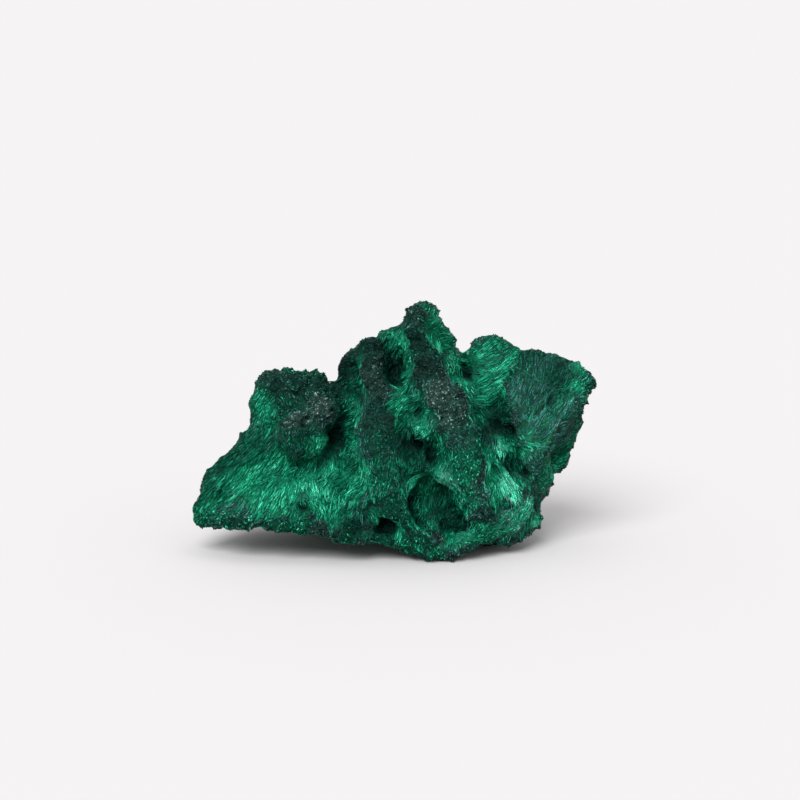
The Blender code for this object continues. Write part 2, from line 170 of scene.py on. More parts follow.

# A patch: its pixel and its reach on the stone, the heading, stand (0 lies on the face, 1 is
# upright) and length of its fibres, their tone (dark to light) and their greyness
# The tone holds the stone's colour together with painted sheen on the bright slopes and painted shade in
# holes and hollows
Patch = namedtuple("Patch", "x y reach heading stand length tone grey")

PATCHES = {
    "knob_strip": Patch(261, 398, 2.2, 238, 0.15, 2.0, 0.54, 0.0),
    "knob_strip_low": Patch(264, 418, 2.0, 240, 0.15, 2.0, 0.56, 0.0),
    "knob_lobes": Patch(251, 408, 1.6, 205, 0.4, 1.4, 0.42, 0.05),
    "knob_cap_left": Patch(280, 386, 2.4, None, 0.9, 0.4, 0.3, 0.5),
    "knob_cap": Patch(300, 384, 2.6, None, 0.9, 0.4, 0.3, 0.5),
    "knob_cap_right": Patch(328, 388, 2.4, None, 0.9, 0.4, 0.3, 0.45),
    "knob_grey": Patch(321, 402, 2.5, None, 1.0, 0.4, 0.46, 0.95),
    "knob_grey_low": Patch(297, 417, 2.2, None, 0.9, 0.4, 0.58, 0.9),
    "knob_middle": Patch(285, 404, 2.2, None, 0.8, 0.5, 0.3, 0.2),
    "knob_front": Patch(300, 440, 2.4, 262, 0.4, 1.4, 0.36, 0.1),
    "knob_beard": Patch(322, 445, 2.0, 262, 0.15, 2.4, 0.74, 0.0),
    "knob_right": Patch(342, 402, 1.6, 300, 0.3, 1.4, 0.36, 0.0),
    "wing_start": Patch(255, 445, 2.4, 228, 0.15, 2.2, 0.36, 0.0),
    "wing_strip": Patch(226, 458, 2.2, 222, 0.15, 2.4, 0.26, 0.0),
    "wing_edge": Patch(213, 466, 1.5, 224, 0.15, 2.0, 0.3, 0.0),
    "wing_edge_low": Patch(202, 494, 1.6, 240, 0.15, 2.0, 0.36, 0.0),
    "wing_edge_top": Patch(238, 441, 1.5, 218, 0.15, 2.0, 0.3, 0.0),
    "wing_left": Patch(218, 485, 2.4, 228, 0.12, 2.4, 0.38, 0.0),
    "wing_silk_left": Patch(240, 482, 2.4, 226, 0.1, 2.8, 0.62, 0.0),
    "wing_silk": Patch(264, 490, 2.8, 236, 0.1, 3.0, 0.61, 0.0),
    "wing_silk_top": Patch(266, 468, 2.2, 232, 0.1, 2.8, 0.6, 0.0),
    "wing_silk_low": Patch(272, 504, 1.6, 244, 0.15, 2.4, 0.62, 0.0),
    "wing_under_knob": Patch(292, 462, 2.2, 240, 0.15, 2.4, 0.5, 0.0),
    "wing_middle": Patch(289, 484, 1.8, 250, 0.12, 2.8, 0.7, 0.0),
    "wing_spray": Patch(303, 480, 1.7, 292, 0.15, 2.8, 0.76, 0.0),
    "wing_spray_low": Patch(313, 500, 1.8, 290, 0.2, 2.2, 0.58, 0.0),
    "wing_slit": Patch(304, 505, 0.8, None, 0.4, 0.8, 0.05, 0.0),
    "rim_tip": Patch(199, 520, 1.8, 225, 0.7, 0.5, 0.42, 0.0),
    "rim_left": Patch(218, 518, 1.8, None, 0.9, 0.45, 0.46, 0.15),
    "rim_middle": Patch(244, 521, 1.6, None, 0.9, 0.45, 0.42, 0.15),
    "rim_right": Patch(270, 523, 1.5, None, 0.9, 0.45, 0.44, 0.1),
    "rim_end": Patch(300, 523, 1.5, None, 0.8, 0.5, 0.5, 0.0),
    "valley": Patch(325, 466, 1.6, 250, 0.15, 2.0, 0.8, 0.0),
    "valley_low": Patch(328, 505, 2.0, 262, 0.2, 2.0, 0.56, 0.0),
    "shoulder_top": Patch(352, 350, 1.8, 155, 0.35, 1.6, 0.14, 0.0),
    "shoulder": Patch(346, 370, 1.8, 190, 0.3, 1.8, 0.02, 0.0),
    "shoulder_low": Patch(354, 386, 1.8, 205, 0.25, 2.0, 0.24, 0.0),
    "slope_top": Patch(350, 408, 2.2, 210, 0.2, 2.0, 0.76, 0.0),
    "slope_hole": Patch(333, 434, 1.4, None, 0.2, 1.2, 0.05, 0.0),
    "slope_upper": Patch(352, 428, 2.0, 208, 0.2, 2.2, 0.66, 0.0),
    "slope": Patch(352, 452, 2.4, 222, 0.15, 2.6, 0.7, 0.0),
    "slope_silk": Patch(340, 474, 2.0, 224, 0.12, 2.8, 0.58, 0.0),
    "slope_low": Patch(356, 486, 2.4, 236, 0.2, 2.4, 0.56, 0.0),
    "slope_foot": Patch(342, 510, 2.2, 246, 0.3, 1.8, 0.48, 0.0),
    "ridge_top": Patch(377, 345, 2.2, None, 0.9, 0.4, 0.12, 0.5),
    "ridge_grey": Patch(372, 366, 1.8, None, 0.9, 0.4, 0.26, 0.85),
    "ridge_grey_low": Patch(384, 388, 1.8, None, 0.9, 0.4, 0.36, 0.9),
    "ridge_upper": Patch(378, 412, 2.2, None, 0.8, 0.45, 0.24, 0.45),
    "ridge_middle": Patch(383, 440, 2.4, 250, 0.6, 0.6, 0.34, 0.25),
    "ridge_lower": Patch(388, 475, 2.6, 262, 0.5, 1.4, 0.4, 0.1),
    "ridge_foot": Patch(398, 506, 2.4, 268, 0.6, 0.6, 0.36, 0.05),
    "saddle_fringe": Patch(398, 342, 1.7, 252, 0.2, 2.4, 0.8, 0.0),
    "saddle_edge": Patch(386, 334, 1.6, 215, 0.3, 1.8, 0.52, 0.0),
    "hollow_deep": Patch(396, 368, 1.7, 262, 0.1, 1.6, 0.18, 0.0),
    "peak_knob": Patch(411, 314, 1.8, None, 1.0, 0.35, 0.34, 0.6),
    "peak_tip": Patch(424, 305, 1.4, 70, 0.6, 0.6, 0.5, 0.1),
    "peak_right": Patch(436, 324, 1.6, 52, 0.4, 1.6, 0.56, 0.0),
    "peak_shoulder": Patch(448, 342, 1.7, 35, 0.4, 1.6, 0.52, 0.0),
    "main_top": Patch(416, 340, 1.8, None, 0.9, 0.4, 0.12, 0.5),
    "main_tuft_strip": Patch(406, 352, 1.3, 236, 0.2, 2.2, 0.62, 0.0),
    "main_upper": Patch(426, 366, 2.2, None, 0.9, 0.4, 0.16, 0.8),
    "main_grey": Patch(438, 392, 2.2, None, 0.9, 0.4, 0.5, 0.9),
    "main_grey_low": Patch(452, 414, 2.4, None, 0.9, 0.4, 0.46, 0.8),
    "main_middle": Patch(462, 436, 2.2, 280, 0.7, 0.55, 0.42, 0.45),
    "main_lower": Patch(464, 462, 2.4, 275, 0.6, 0.6, 0.5, 0.1),
    "main_foot": Patch(472, 496, 2.2, 280, 0.6, 0.6, 0.54, 0.05),
    "tufts_top": Patch(404, 378, 1.7, 208, 0.25, 2.0, 0.64, 0.0),
    "tufts_left": Patch(402, 400, 1.8, 210, 0.25, 2.2, 0.6, 0.0),
    "tufts_middle": Patch(418, 402, 1.8, 214, 0.25, 2.0, 0.46, 0.0),
    "tufts_low": Patch(404, 420, 1.6, 218, 0.25, 2.0, 0.5, 0.0),
    "tufts_silk": Patch(424, 428, 1.7, 232, 0.15, 2.4, 0.74, 0.0),
    "tufts_tail": Patch(438, 442, 1.6, 262, 0.25, 2.0, 0.56, 0.0),
    "small_hole": Patch(413, 443, 1.2, None, 0.1, 0.8, 0.02, 0.0),
    "upper_pocket": Patch(417, 460, 1.6, 262, 0.1, 1.4, 0.22, 0.0),
    "pocket_wall": Patch(402, 468, 1.4, 262, 0.2, 2.2, 0.2, 0.0),
    "tongue": Patch(444, 482, 2.0, 276, 0.2, 2.0, 1.06, 0.0),
    "tongue_left": Patch(424, 482, 1.4, 264, 0.2, 1.8, 0.6, 0.0),
    "pocket_deep": Patch(413, 508, 1.6, 250, 0.2, 1.2, 0.3, 0.0),
    "pocket_back": Patch(434, 510, 2.0, 262, 0.3, 1.4, 0.62, 0.15),
    "pocket_right": Patch(456, 508, 1.6, 250, 0.3, 1.4, 0.56, 0.0),
    "pocket_rim": Patch(414, 532, 1.2, 300, 0.5, 1.0, 0.26, 0.3),
    "pocket_rim_low": Patch(430, 546, 1.2, 310, 0.5, 1.0, 0.3, 0.3),
    "lip": Patch(462, 535, 1.8, 40, 0.3, 1.8, 0.74, 0.0),
    "lip_right": Patch(484, 536, 1.8, 30, 0.4, 1.4, 0.46, 0.0),
    "strip_top": Patch(452, 356, 1.4, 296, 0.15, 2.4, 0.82, 0.05),
    "strip_middle": Patch(461, 384, 1.4, 296, 0.15, 2.4, 0.88, 0.0),
    "strip_low": Patch(476, 414, 1.8, 292, 0.2, 2.2, 0.56, 0.0),
    "crack": Patch(466, 374, 1.0, None, 0.1, 1.0, 0.06, 0.0),
    "fan_left": Patch(474, 354, 2.0, 40, 0.15, 2.6, 0.56, 0.0),
    "fan_top": Patch(494, 344, 1.8, 46, 0.2, 2.2, 0.4, 0.05),
    "fan_top_right": Patch(512, 352, 1.8, 50, 0.3, 2.0, 0.42, 0.0),
    "fan_silk": Patch(484, 380, 2.2, 36, 0.1, 3.0, 0.62, 0.0),
    "fan_silk_low": Patch(480, 398, 1.8, 32, 0.15, 2.6, 0.62, 0.0),
    "fan_middle": Patch(502, 368, 2.0, 42, 0.15, 2.6, 0.6, 0.1),
    "fan_valley": Patch(500, 408, 2.2, 60, 0.2, 2.0, 0.4, 0.0),
    "fan_hole": Patch(507, 430, 1.1, None, 0.1, 0.8, 0.02, 0.0),
    "face_top_left": Patch(528, 362, 2.2, 76, 0.2, 2.2, 0.34, 0.38),
    "face_top": Patch(548, 368, 2.2, 72, 0.2, 2.2, 0.38, 0.38),
    "face_top_right": Patch(564, 376, 2.0, 62, 0.15, 2.2, 0.36, 0.3),
    "face_corner": Patch(579, 366, 1.3, 40, 0.2, 1.8, 0.74, 0.0),
    "face_corner_low": Patch(576, 386, 1.6, 48, 0.3, 1.8, 0.58, 0.0),
    "face_left": Patch(518, 396, 2.4, 70, 0.12, 2.4, 0.5, 0.42),
    "face": Patch(540, 396, 2.8, 68, 0.12, 2.4, 0.4, 0.4),
    "face_right": Patch(562, 408, 2.4, 60, 0.1, 2.4, 0.42, 0.25),
    "face_low": Patch(540, 428, 2.4, 62, 0.1, 2.6, 0.56, 0.38),
    "face_edge": Patch(574, 434, 2.0, 40, 0.2, 2.0, 0.42, 0.15),
    "face_foot": Patch(556, 458, 2.0, 50, 0.15, 2.0, 0.42, 0.0),
    "edge_low": Patch(550, 482, 1.8, 55, 0.2, 2.0, 0.5, 0.0),
    "dark_crest": Patch(530, 466, 2.2, None, 0.5, 1.2, 0.5, 0.4),
    "dark_crest_low": Patch(536, 488, 1.6, None, 0.5, 1.2, 0.36, 0.3),
    "small_fan_top": Patch(498, 464, 1.6, 296, 0.15, 2.6, 0.7, 0.0),
    "small_fan": Patch(508, 482, 1.7, 304, 0.1, 3.0, 1.0, 0.0),
    "small_fan_left": Patch(494, 488, 1.5, 280, 0.2, 2.2, 0.6, 0.0),
    "hole_tuft": Patch(506, 443, 1.3, 300, 0.35, 1.6, 0.82, 0.0),
    "under_hole_tuft": Patch(505, 460, 1.4, 290, 0.2, 1.6, 0.22, 0.0),
    "grey_patch": Patch(477, 492, 1.6, None, 0.8, 0.4, 0.36, 0.6),
    "grey_band": Patch(491, 516, 1.3, None, 0.8, 0.45, 0.3, 0.5),
    "over_small_fan": Patch(500, 446, 1.6, 280, 0.2, 2.0, 1.04, 0.1),
    "corner_face": Patch(530, 510, 2.0, 56, 0.25, 1.8, 0.82, 0.0),
    "corner_line": Patch(532, 520, 0.9, 310, 0.1, 2.0, 0.9, 0.0),
    "corner_left": Patch(508, 522, 2.0, 62, 0.35, 1.6, 0.7, 0.25),
    "ledge_deep": Patch(384, 521, 1.7, None, 0.3, 1.0, 0.06, 0.0),
    "ledge_left": Patch(352, 524, 1.6, None, 0.6, 0.5, 0.2, 0.0),
    "band_left": Patch(344, 540, 1.7, None, 0.8, 0.45, 0.36, 0.1),
    "band": Patch(380, 541, 2.0, None, 0.8, 0.45, 0.38, 0.1),
    "band_right": Patch(410, 546, 1.8, None, 0.8, 0.45, 0.44, 0.05),
    "front_toe": Patch(436, 555, 1.5, 280, 0.6, 0.55, 0.5, 0.0),
}

# A pit is a small hole, sunk by PIT_DEPTH times its reach and darkened by PIT_SHADE as painted shade
Pit = namedtuple("Pit", "x y reach")

PITS = {
    "slope_hole": Pit(334, 434, 1.3),
    "knob_side": Pit(343, 418, 1.2),
    "knob_pit_left": Pit(303, 424, 0.7),
    "knob_pit_right": Pit(330, 398, 0.6),
    "knob_pit_top": Pit(318, 384, 0.6),
    "knob_pit_middle": Pit(322, 396, 0.5),
    "knob_pit_low": Pit(309, 416, 0.6),
    "knob_pit_far": Pit(336, 410, 0.6),
    "small_hole": Pit(412, 441, 0.9),
    "small_hole_right": Pit(420, 443, 0.7),
    "upper_pocket_right": Pit(429, 454, 1.1),
    "fan_hole": Pit(509, 430, 1.0),
    "tufts_gap": Pit(418, 412, 0.7),
    "tufts_gap_top": Pit(407, 391, 0.6),
    "tufts_gap_low": Pit(408, 412, 0.5),
    "fan_gap": Pit(494, 424, 1.0),
    "crack_top": Pit(465, 364, 0.6),
    "crack": Pit(466, 373, 0.8),
    "hollow_top": Pit(397, 356, 1.0),
    "hollow": Pit(398, 368, 1.3),
    "hollow_low": Pit(402, 382, 0.9),
    "wing_slit": Pit(303, 504, 0.7),
    "valley": Pit(322, 478, 0.9),
    "slit_right": Pit(329, 497, 0.7),
    "ledge": Pit(381, 521, 0.8),
    "ledge_middle": Pit(389, 522, 0.7),
    "ledge_right": Pit(396, 521, 0.6),
    "ledge_left": Pit(372, 520, 0.8),
    "ledge_far": Pit(363, 519, 0.7),
    "ledge_end": Pit(354, 521, 0.5),
    "pocket": Pit(413, 502, 1.3),
    "pocket_low": Pit(420, 524, 1.0),
    "pocket_foot": Pit(446, 523, 1.0),
    "pocket_foot_right": Pit(457, 522, 0.9),
    "wing_fold": Pit(284, 448, 0.8),
    "left_fold": Pit(222, 492, 0.6),
    "crest_right": Pit(524, 470, 0.8),
    "face_tooth": Pit(527, 353, 0.6),
    "face_tooth_middle": Pit(543, 353, 0.6),
    "face_tooth_right": Pit(556, 358, 0.6),
}

# A fold is a line on the stone that stands out, or is sunk where its height is below 0; its tone adds
# painted light along raised lines and painted shade along sunk ones
Fold = namedtuple("Fold", "height width tone line")

FOLDS = {
    "pocket_rim": Fold(
        0.4, 0.4, 0.1, [(403, 486), (403, 500), (407, 512), (413, 522), (424, 531), (441, 547)]
    ),
    "pocket_inside": Fold(-0.6, 0.7, -0.2, [(409, 492), (412, 506), (420, 519), (432, 529)]),
    "face_line": Fold(0.4, 0.4, 0.2, [(574, 398), (565, 412), (556, 426), (548, 440), (541, 453)]),
    "face_groove": Fold(-0.4, 0.4, -0.22, [(554, 398), (545, 408), (535, 419)]),
    "fan_edge": Fold(0.45, 0.55, 0.1, [(517, 349), (510, 358), (502, 367), (494, 376)]),
    "fan_shade": Fold(-0.35, 0.6, -0.1, [(520, 358), (510, 370), (500, 384)]),
    "small_fan_edge": Fold(0.5, 0.5, 0.05, [(492, 462), (503, 468), (511, 480), (518, 492), (518, 501)]),
    "small_fan_shade": Fold(-0.6, 0.7, -0.25, [(499, 459), (509, 467), (517, 479), (524, 492)]),
    "small_fan_foot": Fold(-0.6, 0.6, -0.35, [(491, 502), (504, 506), (517, 506)]),
    "corner_line": Fold(0.3, 0.3, 0.2, [(520, 509), (528, 516), (536, 524)]),
    "tufts_edge": Fold(-0.5, 0.5, -0.2, [(404, 432), (412, 438), (424, 440), (432, 448), (434, 462)]),
    "knob_top": Fold(0.5, 1.2, 0.0, [(266, 376), (285, 374), (312, 374), (328, 378)]),
    "knob_lobe": Fold(0.5, 0.7, 0.0, [(253, 398), (252, 408)]),
    "peak_notch": Fold(-0.4, 0.4, -0.15, [(418, 304), (421, 310), (422, 318)]),
    "strip_edge": Fold(-0.4, 0.5, -0.15, [(461, 352), (466, 366), (470, 382)]),
}

# The rest of the stone, by how far it stands out of its own smoothed shape; HOLLOW_TONE darkens the
# hollows as painted shade
SLOPE_TONE, CREST_TONE, HOLLOW_TONE = 0.55, 0.3, 0.16
SLOPE_STAND, CREST_STAND = 0.18, 0.85
SLOPE_LENGTH, CREST_LENGTH = 2.6, 0.4
SWAY, SWAY_PER_MM = 0.35, 0.17
GREY_PER_MM, GREY_SPAN, GREY_SHARE = 0.12, (-0.15, 0.2), 0.9
DULL_SPAN, DULL_SHARE = (0.0, 0.3), 0.35

# Where the fibres of the unseen sides spring from, and how strongly they turn down on their way
SPRING_REACH, FAR_SPRING = 7.0, 1e-6
FALL = 1.15
FLOW_PASSES = 6
SPRINGS = (
    (-19.0, -0.5, 26.0),
    (-13.0, 2.0, 27.0),
    (-14.0, 1.0, 17.5),
    (-3.0, 4.0, 31.0),
    (4.0, 3.0, 36.5),
    (3.0, 5.0, 24.0),
    (10.5, 4.0, 29.5),
    (17.0, 4.0, 31.5),
    (15.0, 4.0, 21.0),
    (26.0, 0.0, 28.0),
    (22.0, 0.0, 16.5),
)

# Colours of the fibres: three bands side by side, each from dark to light
Band = namedtuple("Band", "start end")
GREY, DULL, GREEN = Band(0.0, 0.2), Band(0.22, 0.48), Band(0.5, 1.0)
PALETTE = (
    (0.00, (0.004, 0.011, 0.009)),
    (0.07, (0.032, 0.064, 0.056)),
    (0.14, (0.105, 0.160, 0.146)),
    (0.20, (0.270, 0.340, 0.320)),
    (0.22, (0.001, 0.012, 0.009)),
    (0.31, (0.012, 0.060, 0.054)),
    (0.40, (0.044, 0.165, 0.156)),
    (0.48, (0.190, 0.430, 0.395)),
    (0.50, (0.001, 0.012, 0.008)),
    (0.60, (0.001, 0.046, 0.027)),
    (0.70, (0.002, 0.122, 0.062)),
    (0.80, (0.004, 0.260, 0.128)),
    (0.90, (0.018, 0.460, 0.245)),
    (1.00, (0.130, 0.760, 0.500)),
)

# The map: the width of a face's strip, how far tones keep off the bands' edges, and the rise of a
# face whose corners are level
STRIP_WIDTH, BAND_EDGE = 0.004, 0.003
LEVEL_RISE = 0.05

# Finish of the fibres: painted shade at the root, with speckles finer than a bundle. Noise scales are
# per metre
ROOT_SHADE, ROOT_REACH = 0.5, 0.85
SPECKLE, GREY_SPECKLE = 0.72, 1.0
SPECKLE_SCALE, SPECKLE_DETAIL, SPECKLE_SPAN = 7500.0, 1.0, (0.35, 0.65)
FIBRE_ROUGHNESS, FIBRE_SPECULAR = 0.45, 0.3
GLINT_COLOUR = (0.25, 1.0, 0.75, 1.0)

# Finish of the body between the fibres, which BODY_SHADE darkens as painted shade in the gaps
BODY_SHADE = 0.5
BODY_GRAIN_SCALE, BODY_GRAIN_DETAIL = 2500.0, 3.0
BODY_GRAIN_SPAN, BODY_GRAIN_DARK = (0.35, 0.7), 0.25
BODY_ROUGHNESS, BODY_SPECULAR = 0.6, 0.1

# Studio, with the floor's size in metres
FLOOR_SIZE = 30.0
FLOOR_COLOUR = (0.563, 0.552, 0.556, 1.0)
FLOOR_ROUGHNESS, FLOOR_SPECULAR = 0.9, 0.1
SKY_COLOUR = (0.91, 0.90, 0.905, 1.0)
SKY_STRENGTH = 0.8
SKY_SEEN = 0.98

# The key light comes from the front left and above
Lamp = namedtuple("Lamp", "strength angle comes_from")
LAMPS = {
    "key": Lamp(3.5, math.radians(36.0), (-0.48, -1.36, 1.38)),
    "overhead": Lamp(0.45, math.radians(60.0), (0.1, 0.1, 1.0)),
}


def unit(vectors):
    length = np.linalg.norm(vectors, axis=-1, keepdims=True)
    return vectors / np.maximum(length, TINY)


def blend(start, end, share):
    return start + (end - start) * share


def ramp(values, low, high):
    """0 below low, 1 above high, and smooth between them."""
    share = np.clip((values - low) / (high - low), 0.0, 1.0)
    return share * share * (3.0 - 2.0 * share)


def clouds(points, *scales):
    """Smooth noise between -1 and 1 at these points, times each scale."""
    values = []
    for point in points:
        place = Vector(point)
        for scale in scales:
            place = place * scale
        values.append(noise.noise(place))
    return np.array(values)


def nearest(points, wanted):
    """For each wanted place, which of the points is nearest."""
    tree = KDTree(len(points))
    for i, point in enumerate(points):
        tree.insert(Vector(point), i)
    tree.balance()
    return np.array([tree.find(Vector(place))[1] for place in wanted])


def coordinates(mesh, name="co"):
    """A mesh's coordinates, or its normals, as an array."""
    flat = np.empty(len(mesh.vertices) * 3, np.float32)
    mesh.vertices.foreach_get(name, flat)
    return flat.reshape(-1, 3).astype(float)


def add_object(name, data):
    thing = bpy.data.objects.new(name, data)
    bpy.context.scene.collection.objects.link(thing)
    return thing


def add_camera():
    """The camera at the photograph's angle, and its place and axes in millimetres."""
    right = np.array((1.0, 0.0, 0.0))
    up = np.array((0.0, math.sin(TILT), math.cos(TILT)))
    back = np.array((0.0, -math.cos(TILT), math.sin(TILT)))
    place = right * AIM_RIGHT + up * AIM_UP - np.array(CENTRING) + back * DISTANCE
    data = bpy.data.cameras.new("camera")
    data.lens = LENS
    data.sensor_width = SENSOR
    data.clip_start = NEAR_CLIP
    camera = add_object("camera", data)
    camera.location = place * MM
    camera.rotation_mode = "QUATERNION"
    camera.rotation_quaternion = Vector(-back).to_track_quat("-Z", "Y")
    bpy.context.scene.camera = camera
    return place, right, up, back


def fine_copy(node):
    """A finer mesh of the solid, in millimetres."""
    copy = add_object("fine_copy", node.data.copy())
    copy.data.transform(Matrix.Scale(1 / MM, 4))
    remesh = copy.modifiers.new("Fine", "REMESH")
    remesh.mode = "VOXEL"
    remesh.voxel_size = BODY_VOXEL
    graph = bpy.context.evaluated_depsgraph_get()
    mesh = bpy.data.meshes.new_from_object(copy.evaluated_get(graph))
    bpy.data.objects.remove(copy)
    return mesh


class Skin:
    """The body's surface as arrays. The functions below add what each vertex holds: flow, stand,
    length, tone, grey and sunk."""

    def __init__(self, mesh):
        self.mesh = mesh
        self.points = coordinates(mesh)
        self.normals = coordinates(mesh, "normal")
        pairs = np.empty(len(mesh.edges) * 2, np.int32)
        mesh.edges.foreach_get("vertices", pairs)
        self.edges = pairs.reshape(-1, 2)
        mesh.calc_loop_triangles()
        corners = np.empty(len(mesh.loop_triangles) * 3, np.int32)
        mesh.loop_triangles.foreach_get("vertices", corners)
        self.triangles = corners.reshape(-1, 3)
        self.tree = BVHTree.FromPolygons(self.points.tolist(), self.triangles.tolist())

    def spread(self, values, passes):
        """Values smoothed over the surface."""
        a, b = self.edges.T
        count = len(self.points)
        neighbours = np.maximum(np.bincount(self.edges.ravel(), minlength=count), 1)
        columns = [values] if values.ndim == 1 else list(values.T)
        smooth = []
        for column in columns:
            for _ in range(passes):
                total = np.bincount(a, column[b], count) + np.bincount(b, column[a], count)
                column = 0.5 * column + 0.5 * total / neighbours
            smooth.append(column)
        return smooth[0] if values.ndim == 1 else np.stack(smooth, axis=1)

    def flat(self, vectors):
        """Vectors without their part along the normal."""
        return vectors - (vectors * self.normals).sum(axis=1, keepdims=True) * self.normals

    def areas(self):
        """The area of each triangle, counted at a lower rate where it faces down."""
        a, b, c = (self.points[self.triangles[:, i]] for i in range(3))
        cross = np.cross(b - a, c - a)
        area = np.linalg.norm(cross, axis=1) / 2
        down = -cross[:, 2] / np.maximum(2.0 * area, TINY)
        return area * blend(1.0, UNDERSIDE_SHARE, ramp(down, *UNDERSIDE_SPAN))

    def scatter(self, count, rng):
        """Random places: the triangle of each and the weights of its corners."""
        area = self.areas()
        edges = np.cumsum(area)
        at = (np.arange(count) + rng.random(count)) / count * edges[-1]
        faces = np.minimum(np.searchsorted(edges, at), len(area) - 1)
        root = np.sqrt(rng.random(count))
        other = rng.random(count)
        weights = np.stack([1 - root, root * (1 - other), root * other], axis=1)
        return faces, weights

    def at(self, values, faces, weights):
        """The values of the vertices at these places."""
        corners = values[self.triangles[faces]]
        if values.ndim == 1:
            return (corners * weights).sum(axis=1)
        return (corners * weights[..., None]).sum(axis=1)


class Picture:
    """The photograph's pixels, and the places on the stone under them."""

    def __init__(self, skin, view):
        self.skin = skin
        self.place, self.right, self.up, self.back = view
        self.seen = skin.normals @ self.back
        self.facing = ramp(self.seen, *FACING_SPAN)

    def under(self, x, y):
        """The place on the stone under a pixel, or None beside the stone."""
        across = (x / PICTURE - 0.5) * SENSOR / LENS
        above = (0.5 - y / PICTURE) * SENSOR / LENS
        ray = Vector(self.right * across + self.up * above - self.back).normalized()
        return self.skin.tree.ray_cast(Vector(self.place), ray)[0]

    def gap_from(self, mark):
        """How far each vertex is from the place under a mark's pixel."""
        hit = self.under(mark.x, mark.y)
        return np.inf if hit is None else np.linalg.norm(self.skin.points - np.array(hit), axis=1)

    def gap_from_line(self, line):
        """The square of each vertex's distance from a line that is drawn on the stone."""
        gap = np.full(len(self.skin.points), np.inf)
        for (x0, y0), (x1, y1) in zip(line, line[1:]):
            steps = max(2, int(math.hypot(x1 - x0, y1 - y0)))
            for k in range(steps):
                hit = self.under(blend(x0, x1, k / steps), blend(y0, y1, k / steps))
                if hit is not None:
                    gap = np.minimum(gap, ((self.skin.points - np.array(hit)) ** 2).sum(axis=1))
        return gap

    def along(self, heading):
        """The direction on the stone that follows a heading in the picture."""
        angle = math.radians(heading)
        way = self.right * math.cos(angle) + self.up * math.sin(angle)
        lean = -(self.skin.normals @ way) / np.maximum(self.seen, LEAST_FACING)
        lean = np.clip(lean, -STEEPEST, STEEPEST)
        return unit(self.skin.flat(way + lean[:, None] * self.back))


def openness(skin, node):
    """The share of the sky that each vertex sees past the stone near it, from rays off the solid."""
    points = coordinates(node.data) / MM
    normals = coordinates(node.data, "normal")
    rng = np.random.default_rng(SEED)
    free = np.zeros(len(points))
    rays = unit(normals[:, None] + unit(rng.normal(0.0, 1.0, (len(points), OPEN_RAYS, 3))))
    for i, start in enumerate(points + normals * OPEN_START):
        hits = (skin.tree.ray_cast(Vector(start), Vector(ray), OPEN_REACH)[0] for ray in rays[i])
        free[i] = 1.0 - sum(hit is not None for hit in hits) / OPEN_RAYS
    return skin.spread(free[nearest(points, skin.points)], OPEN_PASSES)


def relief(skin):
    """How much each vertex is part of a crest and of a hollow."""
    smooth = skin.spread(skin.points, RELIEF_PASSES)
    height = ((skin.points - smooth) * skin.normals).sum(axis=1)
    return ramp(height, *CREST_SPAN), ramp(-height, *HOLLOW_SPAN)


def own_values(skin):
    """What each vertex holds where no patch says it."""
    crest, hollow = relief(skin)
    sway = clouds(skin.points, SWAY_PER_MM)
    grey = GREY_SHARE * crest * ramp(clouds(skin.points, GREY_PER_MM), *GREY_SPAN)
    dull = DULL_SHARE * ramp(-sway, *DULL_SPAN)
    return {
        "stand": blend(SLOPE_STAND, CREST_STAND, crest),
        "length": blend(SLOPE_LENGTH, CREST_LENGTH, crest),
        # hollows take HOLLOW_TONE, a darker tone painted as shade
        "tone": blend(blend(SLOPE_TONE + SWAY * sway, CREST_TONE, crest), HOLLOW_TONE, hollow),
        "grey": np.maximum(grey, dull),
    }


def own_flow(skin):
    """Which way the fibres grow where no patch says it: away from the springs and down."""
    outward = np.zeros((len(skin.points), 3))
    for spring in SPRINGS:
        apart = skin.points - np.array(spring)
        nearness = np.exp(-((np.linalg.norm(apart, axis=1) / SPRING_REACH) ** 2))
        outward += (nearness + FAR_SPRING)[:, None] * unit(skin.flat(apart))
    outward = unit(outward) + skin.flat(np.array([[0.0, 0.0, -FALL]]))
    return unit(skin.spread(unit(outward), FLOW_PASSES))


def lay_patches(skin, picture):
    """Fills the skin with flow, stand, length, tone and grey for each vertex."""
    total = np.full(len(skin.points), AUTO_WEIGHT)
    sums = {name: value * AUTO_WEIGHT for name, value in own_values(skin).items()}
    flow = own_flow(skin) * AUTO_WEIGHT
    for patch in PATCHES.values():
        apart = picture.gap_from(patch)
        share = np.exp(-PATCH_SHARPNESS * (apart / patch.reach) ** 2) * picture.facing
        total += share
        for name in sums:
            sums[name] += share * getattr(patch, name)
        if patch.heading is not None:
            flow += share[:, None] * picture.along(patch.heading)
    for name in sums:
        setattr(skin, name, sums[name] / total)
    skin.flow = unit(skin.flat(flow))


def shade_hollows(skin, node):
    """Gives the tone its mottle, and paints shade into it where the stone shuts out the light."""
    mottle = clouds(skin.points, MOTTLE_PER_MM)
    mottle += FINE_MOTTLE_SHARE * clouds(skin.points, FINE_MOTTLE_TIMES, MOTTLE_PER_MM)
    mottle = MOTTLE * mottle * blend(MOTTLE_LYING, MOTTLE_STANDING, skin.stand)
    skin.tone = MIDDLE_TONE + TONE_CONTRAST * (skin.tone - MIDDLE_TONE) + mottle
    # painted shade: the tone falls towards DEEP_SHARE where little of the sky is open
    skin.tone *= blend(DEEP_SHARE, 1.0, ramp(openness(skin, node), *OPEN_SPAN))


